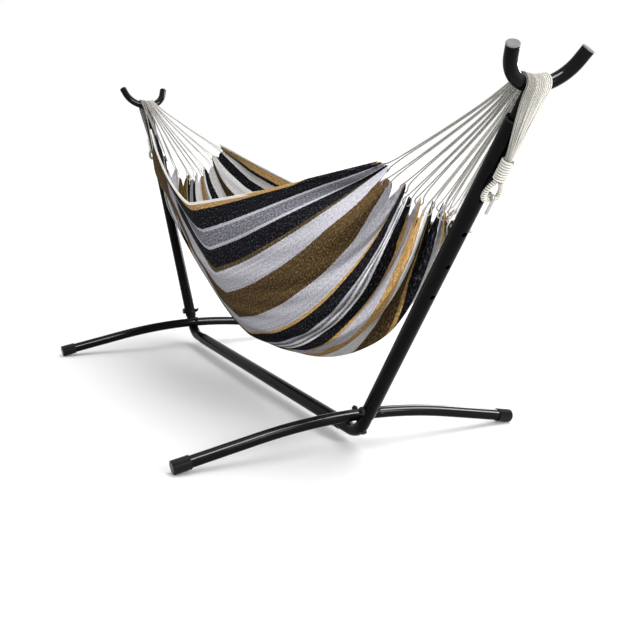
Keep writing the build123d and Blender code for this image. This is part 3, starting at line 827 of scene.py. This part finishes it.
@dataclass
class SuspensionCords:
    """Doubled cords of both ends, from each finger over the cradle into the rope end.

    Sizes follow the stand's own: the cradle's tube and bend, and the neck above the eye.
    """

    cloth: ClothShape
    diameter: float = 0.0038
    pitch: float = 0.0046
    layer: float = 0.0042
    cradle_height: float = 1.167
    cradle_bend: float = 0.095
    cradle_radius: float = 0.015
    clearance: float = 0.0006
    drop: float = math.radians(36.0)
    wrap_corners: int = 3
    split_inset: float = 0.024
    blend_before: float = 0.004
    blend_after: float = 0.075
    finger_spread: float = 0.0023
    loop_radius: float = 0.0108
    loop_root: float = 0.010
    loop_at: float = 0.017
    loop_corners: int = 4
    neck_n: float = NECK_OUT
    neck_low: float = 0.956
    neck_high: float = 1.004
    neck_radius: float = 0.0076
    shoulder_s: float = 1.062
    shoulder_shares: Pair = (0.55, 0.45)
    rise_gap: float = 0.001
    rise_below: float = 0.018
    gather: float = 0.28
    gather_pull: float = 0.009

    def column(self, index: int) -> float:
        """Return the place of a finger's cords across the cradle."""
        return (index - (self.cloth.fingers - 1) / 2.0) * self.pitch

    def wrap_radius(self, layer: int) -> float:
        """Return the distance of a cord from the cradle tube's middle."""
        slope = math.asin(self.column(self.cloth.fingers - 1) / self.cradle_bend)
        return (self.cradle_radius / math.cos(slope) + self.diameter / 2.0 + self.clearance
                + layer * self.layer)

    def saddle(self, end: EndFrame, y: float) -> Array:
        """Return the cradle tube's middle at a place across it."""
        rise = self.cradle_bend - math.sqrt(self.cradle_bend**2 - y * y)
        return end.point(0.0, y, self.cradle_height + rise)

    def neck_places(self) -> list[Pair]:
        """Spread the cords over the round neck.

        Returns:
            The place of each leg as n and y, in order along y.
        """
        count = 2 * self.cloth.fingers
        golden = math.pi * (3.0 - math.sqrt(5.0))
        places = []
        for index in range(count):
            reach = self.neck_radius * math.sqrt((index + 0.5) / count)
            places.append((reach * math.cos(index * golden), reach * math.sin(index * golden)))
        return sorted(places, key=lambda place: place[1])

    def leg(self, side: Side, index: int, layer: int) -> list[Array]:
        """Lay one leg, from the neck to just past the cradle.

        Args:
            side: End of the stand.
            index: Finger, from the front rim.
            layer: 0 for the leg that lies on the cradle, 1 for the one on top of it.

        Returns:
            Its control points in the row frame.
        """
        end = EndFrame(side)
        y = self.column(index)
        radius = self.wrap_radius(layer)
        neck_n, neck_y = self.neck_places()[2 * index + layer]
        below, above = self.shoulder_shares
        points = [
            end.point(self.neck_n + neck_n, neck_y, self.neck_low),
            end.point(self.neck_n + neck_n, neck_y, self.neck_high),
            end.point(below * (self.neck_n + neck_n) + above * radius, below * neck_y + above * y,
                      self.shoulder_s),
            end.point(radius + self.rise_gap, y, self.cradle_height - self.rise_below),
        ]
        middle = self.saddle(end, y)
        outer = -end.lean
        inner = math.pi / 2.0 + self.drop
        half = (inner - outer) / (2.0 * self.wrap_corners)
        reach = radius / math.cos(half)
        for corner in range(self.wrap_corners):
            turn = outer + half * (2 * corner + 1)
            points.append(middle + reach * np.array((side.sign * math.cos(turn), 0.0, math.sin(turn))))
        touch = middle + radius * np.array((side.sign * math.cos(inner), 0.0, math.sin(inner)))
        down = np.array((-side.sign * math.cos(self.drop), 0.0, -math.sin(self.drop)))
        points.append(touch + down * radius * math.tan(half))
        return points

    def route(self, side: Side, index: int) -> list[Array]:
        """Lay one doubled cord, with a round loop in its finger.

        Args:
            side: End of the stand.
            index: Finger, from the front rim.

        Returns:
            Its control points in the row frame.
        """
        first, second = self.leg(side, index, 0), self.leg(side, index, 1)
        tip = self.cloth.tip(side, index)
        way = unit(tip - first[-1])
        up = self.cloth.end_slope(side) * self.finger_spread
        inwards, across = self.cloth.finger_plane(side, index)
        if across @ up < 0.0:
            across = -across
        middle = tip + inwards * self.loop_at
        quarter = math.pi / 2.0
        corner = self.loop_radius / math.cos(quarter / (self.loop_corners - 1))
        eye = [tip - up - way * self.loop_root]
        for turn in np.linspace(-quarter, quarter, self.loop_corners):
            eye.append(middle + corner * (inwards * math.cos(turn) + across * math.sin(turn)))
        eye.append(tip + up - way * self.loop_root)
        first.append(self.gathered(side, first[-1], tip - up))
        second.append(self.gathered(side, second[-1], tip + up))
        return first + eye + second[::-1]

    def gathered(self, side: Side, root: Array, tip: Array) -> Array:
        """Draw one leg in towards the middle of its fan.

        Args:
            side: End of the stand.
            root: Where the leg leaves the cradle.
            tip: Where it meets its finger.

        Returns:
            A point on its way.
        """
        middle_tip = np.mean([self.cloth.tip(side, index) for index in range(self.cloth.fingers)], axis=0)
        middle_root = self.saddle(EndFrame(side), 0.0)
        place = root + (tip - root) * self.gather
        inwards = middle_root + (middle_tip - middle_root) * self.gather - place
        reach = float(np.linalg.norm(inwards))
        return place + inwards * min(1.0, self.gather_pull / max(reach, TINY))

    def build(self, finishes: Sequence[Material]) -> list[Piece]:
        """Make all cords, each bending from the stand to the hammock in front of its cradle.

        Args:
            finishes: Finishes of the cords, shared out in order from the front rim; the darker ones paint
                shade on the front and middle cords.

        Returns:
            The cords.
        """
        made = []
        for side in Side:
            for index in range(self.cloth.fingers):
                strand = Strand(f"cord_{side.value}_{index + 1:02d}", self.route(side, index), self.diameter)
                obj = strand.build(finishes[len(finishes) * index // self.cloth.fingers])
                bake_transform(obj)
                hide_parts(f"fan_cords_{side.value}", f"saddle_cords_{side.value}",
                            f"rope_tail_{side.value}")
                made.append(obj)
        return made


@dataclass
class RopeEnd:
    """Whipped neck and wrapped eye of one rope end."""

    side: Side
    neck_n: float = NECK_OUT
    neck_bottom: float = 0.9521
    neck_length: float = 0.055
    neck_inset: float = 0.02
    neck_sink: float = 0.0026
    coil_radius: float = 0.0138
    whip: float = 0.0056
    turns: int = 8
    whip_pitch: float = 0.0066
    eye_radius: float = 0.0205
    eye_bottom: float = 0.9027
    eye_cheek: float = 0.002
    eye_sag: float = 0.0012
    eye_foot: float = 0.55
    eye_shoulder: float = 0.9327
    eye_top: float = 0.9487
    eye_top_half: float = 0.007
    eye_rope: float = 0.0145
    wrap: float = 0.0042
    wrap_sink: float = 0.9
    wrap_spread: float = 1.24
    wound_lay: float = 0.02
    wound_step: float = 0.0016
    corners: int = 12

    def whipping_route(self) -> list[Array]:
        """Lay the whipping's coil.

        Returns:
            Its control points in the row frame.
        """
        end = EndFrame(self.side)
        start = self.neck_bottom + (self.neck_length - self.turns * self.whip_pitch) / 2.0
        radius = self.coil_radius / math.sqrt(math.cos(math.pi / self.corners))
        points = []
        for index in range(self.turns * self.corners + 1):
            turn = index * FULL_TURN / self.corners
            points.append(end.point(self.neck_n + radius * math.cos(turn), radius * math.sin(turn),
                                    start + self.whip_pitch * index / self.corners))
        return points

    def eye_route(self) -> list[Array]:
        """Lay the eye's rope.

        Returns:
            Its control points in the row frame.
        """
        end = EndFrame(self.side)
        half = [(self.eye_top_half, self.eye_top), (self.eye_radius, self.eye_shoulder),
                (self.eye_radius, self.eye_bottom + self.eye_cheek),
                (self.eye_foot * self.eye_radius, self.eye_bottom - self.eye_sag)]
        places = [(-y, s) for y, s in half] + half[::-1]
        return [end.point(self.neck_n, y, s) for y, s in places]

    def binding_route(self, core: Strand) -> list[Array]:
        """Wind a cord round the eye's rope.

        Args:
            core: The rope.

        Returns:
            The cord's control points in the row frame.
        """
        first, second = core.frames()
        radius = self.eye_rope / 2.0 - self.wrap / 2.0
        count = int(core.length / (self.wrap * self.wrap_spread)) * self.corners
        route = []
        for index in range(count + 1):
            at = index / count * (len(core.line) - 1)
            row = min(int(at), len(core.line) - 2)
            centre = core.line[row] + (core.line[row + 1] - core.line[row]) * (at - row)
            turn = index * FULL_TURN / self.corners
            route.append(centre + radius * (math.cos(turn) * first[row] + math.sin(turn) * second[row]))
        return route

    def build(self, finish: Material, inner: Material) -> list[Piece]:
        """Make the whipping and the neck under it, the eye's rope and the cord wrapped round it.

        Args:
            finish: Finish of the outer cords.
            inner: Finish of the rope under them, a darker cotton that paints the shade seen between the turns
                of the cords wound over it.

        Returns:
            The pieces.
        """
        end = EndFrame(self.side)
        name = self.side.value
        whipping = Strand(f"neck_wrap_{name}", self.whipping_route(), self.whip, resolution=6,
                          step=self.wound_step, lay=self.wound_lay).build(finish)
        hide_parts(f"neck_whipping_{name}")
        shares = (self.neck_inset, 0.5, 1.0 - self.neck_inset)
        bar = [end.point(self.neck_n, 0.0, self.neck_bottom + share * self.neck_length) for share in shares]
        bar_size = 2.0 * self.coil_radius - self.neck_sink
        # The neck's core and the eye's rope take the darker cotton as painted shade showing between the
        # turns.
        neck = Strand(f"neck_core_{name}", bar, bar_size, lobes=0, sides=20).build(inner)
        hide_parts(f"rope_tail_{name}")
        core_size = self.eye_rope - self.wrap_sink * self.wrap
        core = Strand(f"eye_rope_{name}", self.eye_route(), core_size, lobes=0, sides=14)
        eye = core.build(inner)
        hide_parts(f"eye_loop_{name}")
        binding = Strand(f"eye_wrap_{name}", self.binding_route(core), self.wrap, resolution=5,
                         step=self.wound_step, lay=self.wound_lay).build(finish)
        for obj in (whipping, neck, eye, binding):
            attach(obj, "stand")
        return [whipping, neck, eye, binding]


@dataclass
class HammockCloth:
    """The striped cloth with its hems and the roll of its front rim.

    Spans along a rim are places along the cloth's length. The lay of the rim's strands is so long
    that they don't turn.
    """

    shape: ClothShape
    length: float = 2.05
    along: int = 216
    across: int = 196
    crowding: float = 0.82
    thickness: float = 0.0018
    rim_points: int = 70
    rim_lay: float = 50.0
    rim_step: float = 0.006
    rim_resolution: int = 4
    hem_size: float = 0.0095
    hem_depth: float = 0.25
    hem_span: Pair = (-1.0, 0.72)
    tuck_span: Pair = (0.15, 0.7)
    tuck: Place = (0.0, 0.008, -0.007)
    roll_size: float = 0.012
    roll_span: Pair = (0.50, 0.985)
    roll_seat: Place = (0.0, 0.0035, -0.003)
    roll_start: float = 0.2
    roll_sink: Place = (0.0, 0.008, -0.016)
    roll_stripe: Pair = (0.030, 0.025)

    def build(self, finish: Material, cord: Material) -> list[Piece]:
        """Args:
            finish: Finish of the cloth.
            cord: Finish of the hems.

        Returns:
            The pieces, the cloth first.
        """
        bpy.ops.mesh.primitive_grid_add(x_subdivisions=self.along, y_subdivisions=self.across, size=2.0)
        cloth = bpy.context.object
        cloth.name = "striped_cloth"
        mesh = cloth.data
        flat = np.zeros(len(mesh.vertices) * 3, np.float32)
        mesh.vertices.foreach_get("co", flat)
        flat = flat.reshape(-1, 3).astype(float)
        t = np.sign(flat[:, 0]) * np.abs(flat[:, 0]) ** self.crowding
        s = flat[:, 1]
        mesh.vertices.foreach_set("co", self.shape.folded(t, s).astype(np.float32).ravel())
        layer = mesh.uv_layers.active
        layer.name = "cloth"
        metres = np.stack([self.length / 2.0 * t, self.shape.across(t, s)], axis=1)
        dress_mesh(mesh, layer, metres, finish)
        solid = cloth.modifiers.new("thickness", "SOLIDIFY")
        solid.thickness = self.thickness
        solid.offset = -1.0
        bpy.ops.object.modifier_apply(modifier=solid.name)
        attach(cloth, "hammock")
        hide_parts("hammock_cloth")
        hems = [
            self.hem("hem_front", -1.0, self.hem_span, cord),
            self.hem("hem_back", 1.0, (-1.0, 1.0), cord),
            self.roll("rim_roll", finish),
        ]
        return [cloth, *hems]

    def edge_line(self, edge: float, span: Pair) -> tuple[Array, Array]:
        """Return places along the length and points along a stretch of one rim."""
        t = np.linspace(span[0], span[1], self.rim_points)
        return t, self.shape.folded(t, np.full_like(t, edge))

    def hem(self, name: str, edge: float, span: Pair, finish: Material) -> Piece:
        """Make a hem along a rim, tucked inside where the front rim rolls over.

        Args:
            name: Name of the piece.
            edge: The rim, -1 for the front and 1 for the back.
            span: Where the hem starts and ends.
            finish: Its finish.

        Returns:
            The piece.
        """
        t, route = self.edge_line(edge, span)
        tucked = smoothstep(*self.tuck_span, t) if edge < 0.0 else np.zeros_like(t)
        route = route + tucked[:, None] * np.array(self.tuck)
        strand = Strand(name, route, self.hem_size, lobes=2, depth=self.hem_depth, lay=self.rim_lay, sides=10,
                        step=self.rim_step, resolution=self.rim_resolution)
        return self.along_rim(strand, finish)

    def roll(self, name: str, finish: Material) -> Piece:
        """Make the soft roll of cloth along the front rim, in the stripe next to it.

        Args:
            name: Name of the piece.
            finish: Its finish.

        Returns:
            The piece.
        """
        t, route = self.edge_line(-1.0, self.roll_span)
        sunk = 1.0 - smoothstep(self.roll_span[0], self.roll_span[0] + self.roll_start, t)
        route = route + np.array(self.roll_seat) + sunk[:, None] * np.array(self.roll_sink)
        strand = Strand(name, route, self.roll_size, lobes=0, lay=self.rim_lay, sides=12, step=self.rim_step,
                        resolution=self.rim_resolution, uv_name="cloth", uv_around=self.roll_stripe)
        return self.along_rim(strand, finish)

    def along_rim(self, strand: Strand, finish: Material) -> Piece:
        """Make a strand that rides on the hammock.

        Args:
            strand: The strand.
            finish: Its finish.

        Returns:
            The piece.
        """
        obj = strand.build(finish)
        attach(obj, "hammock")
        return obj


@dataclass
class StandDress:
    """Finishes of the stand's own pieces, each named as the slot that it goes on."""

    finishes: tuple[HardFinish, ...] = (
        PowderCoat(),
        PlatedSteel("black_hardware", (0.03, 0.03, 0.032, 1.0), (0.012, 0.012, 0.013, 1.0)),
        MouldedPlastic("cap_plastic", (0.0035, 0.0035, 0.0038, 1.0), (0.00795, 0.00795, 0.00846, 1.0)),
        MouldedPlastic("plug_plastic", (0.16, 0.16, 0.165, 1.0), (0.274, 0.274, 0.2825, 1.0),
                       roughness=((0.2, 0.8), (0.38, 0.56))),
        MouldedPlastic("collar_plastic", (0.0035, 0.0035, 0.0038, 1.0), (0.00795, 0.00795, 0.00846, 1.0)),
        PlatedSteel("hook_steel", (0.48, 0.47, 0.45, 1.0), (0.25, 0.24, 0.23, 1.0)),
    )

    def build(self) -> list[Piece]:
        """Put each CAD node's finish on it.

        Returns:
            The nodes that have one.
        """
        made = {finish.name: finish.build() for finish in self.finishes}
        dressed = []
        for row in frame["record"]["subparts"]:
            finish = made.get(row["material_slot"])
            if finish is not None:
                node = frame["nodes"][row["node"]]
                node.data.materials.clear()
                node.data.materials.append(finish)
                dressed.append(node)
        return dressed


@dataclass(frozen=True)
class Lamp:
    """One soft area light.

    Its size is its width and height, and along is the way in which its height runs.
    """

    name: str
    lit: Lit
    place: Place
    target: Place
    size: Pair
    watts: float
    along: Place = (0.0, 0.0, 1.0)

    def build(self) -> None:
        """Make the light, facing its target."""
        data = bpy.data.lights.new(self.name, "AREA")
        data.shape = "RECTANGLE"
        data.energy = self.watts
        data.size, data.size_y = self.size
        obj = bpy.data.objects.new(self.name, data)
        back = (Vector(self.place) - Vector(self.target)).normalized()
        side = Vector(self.along).cross(back).normalized()
        turn = Matrix((side, back.cross(side), back)).transposed()
        obj.matrix_world = Matrix.Translation(self.place) @ turn.to_4x4()
        bpy.context.scene.collection.objects.link(obj)
        if self.lit is not Lit.ALL:
            obj.light_linking.receiver_collection = bpy.data.collections.new(self.name)
            for piece in self.lit.pieces():
                obj.light_linking.receiver_collection.objects.link(piece)


@dataclass
class Studio:
    """Pale floor, soft lights and the camera at the photograph's angle."""

    floor_size: float = 60.0
    azimuth: float = math.radians(63.570)
    elevation: float = math.radians(12.104)
    roll: float = math.radians(1.056)
    location: Place = (2.8432, -1.2830, 0.9132)
    lens: float = 49.886
    sensor: float = 36.0
    shift: float = 0.0406
    room: float = 0.84
    overhead: float = 0.72
    overhead_span: Pair = (0.35, 0.75)
    backdrop: float = 1.0
    backdrop_span: Pair = (0.1, 0.7)
    sky_power: float = 1.6
    sky_spread: float = math.radians(50.0)
    sky_turn: Place = (math.radians(-22.0), math.radians(-4.0), 0.0)
    lamps: tuple[Lamp, ...] = (
        Lamp("fill", Lit.ALL, place=(3.2, 0.5, 1.5), target=(1.2, 0.0, 0.9), size=(0.5, 1.0), watts=34.0),
        Lamp("key", Lit.CLOTH, place=(1.9, -1.2, 2.0), target=(0.4, -0.2, 0.5), size=(0.3, 0.4), watts=125.0),
        Lamp("strip", Lit.COATED, place=(2.43, 1.5, 3.0), target=(0.69, 0.9, 0.0), size=(1.2, 6.4),
             watts=2400.0, along=(0.0, 1.0, 0.0)),
        Lamp("back", Lit.COATED, place=(-1.6, 3.2, 2.4), target=(0.0, 0.0, 0.6), size=(0.7, 2.2),
             watts=200.0),
        Lamp("side", Lit.COATED, place=(3.4, 1.9, 1.6), target=(0.9, 0.0, 0.6), size=(0.5, 1.8), watts=110.0),
    )

    def build(self) -> None:
        """Make the floor, the lights and the camera."""
        bpy.ops.mesh.primitive_plane_add(size=self.floor_size)
        floor = bpy.context.object
        floor.name = "floor"
        floor.data.materials.append(PaleFloor().build())
        bpy.context.scene.view_settings.view_transform = "Standard"
        self.surround()
        self.soft_sky()
        for lamp in self.lamps:
            lamp.build()
        self.camera()

    def surround(self) -> None:
        """Make the world white behind the object and a dimmer room on its other sides."""
        world = bpy.data.worlds.new("studio")
        bpy.context.scene.world = world
        sheet = ShaderSheet(world)
        place = sheet.add("ShaderNodeTexCoord").outputs["Generated"]
        behind = (-math.sin(self.azimuth), math.cos(self.azimuth), 0.0)
        levels = []
        for way, span, level in ((behind, self.backdrop_span, self.backdrop),
                                 ((0.0, 0.0, 1.0), self.overhead_span, self.overhead)):
            facing = sheet.add("ShaderNodeVectorMath", {"operation": "DOT_PRODUCT"}, i0=place, i1=way)
            levels.append(sheet.remap(facing.outputs["Value"], (span, (self.room, level)), "SMOOTHSTEP"))
        sheet.put(world.node_tree.nodes["Background"], Strength=sheet.math("MAXIMUM", *levels),
                  Color=(1.0, 1.0, 1.0, 1.0))

    def soft_sky(self) -> None:
        """Add one broad even light from above."""
        data = bpy.data.lights.new("sky", "SUN")
        data.energy = self.sky_power
        data.angle = self.sky_spread
        obj = bpy.data.objects.new("sky", data)
        obj.rotation_euler = self.sky_turn
        bpy.context.scene.collection.objects.link(obj)

    def camera(self) -> None:
        """Add the camera."""
        data = bpy.data.cameras.new("camera")
        data.lens = self.lens
        data.sensor_width = self.sensor
        data.shift_x = self.shift
        obj = bpy.data.objects.new("camera", data)
        a, e = self.azimuth, self.elevation
        ahead = Vector((-math.sin(a) * math.cos(e), math.cos(a) * math.cos(e), -math.sin(e)))
        level = Vector((math.cos(a), math.sin(a), 0.0))
        upright = level.cross(ahead)
        right = level * math.cos(self.roll) + upright * math.sin(self.roll)
        turn = Matrix((right, right.cross(ahead), -ahead)).transposed()
        obj.matrix_world = Matrix.Translation(self.location) @ turn.to_4x4()
        bpy.context.scene.collection.objects.link(obj)
        bpy.context.scene.camera = obj


def main() -> None:
    """Build every class in order and report each piece."""
    logging.basicConfig(level=logging.INFO, format="%(name)s %(message)s")
    pieces = StandDress().build()
    cotton, dull, grey, inner = (CottonCord(tone).build() for tone in Cotton)
    shape = ClothShape()
    # From the front rim the cords take the deepest, then the middle, then the clean cotton: painted shade on
    # the front and middle cords.
    pieces += SuspensionCords(shape).build((dull, grey, cotton))
    for side in Side:
        pieces += RopeEnd(side).build(cotton, inner)
    pieces += HammockCloth(shape).build(StripedWeave().build(), cotton)
    for piece in pieces:
        LOG.info("%s: %d faces in %s", piece.name, len(piece.data.polygons), piece.data.materials[0].name)
    Studio().build()


if __name__ == "__main__":
    main()
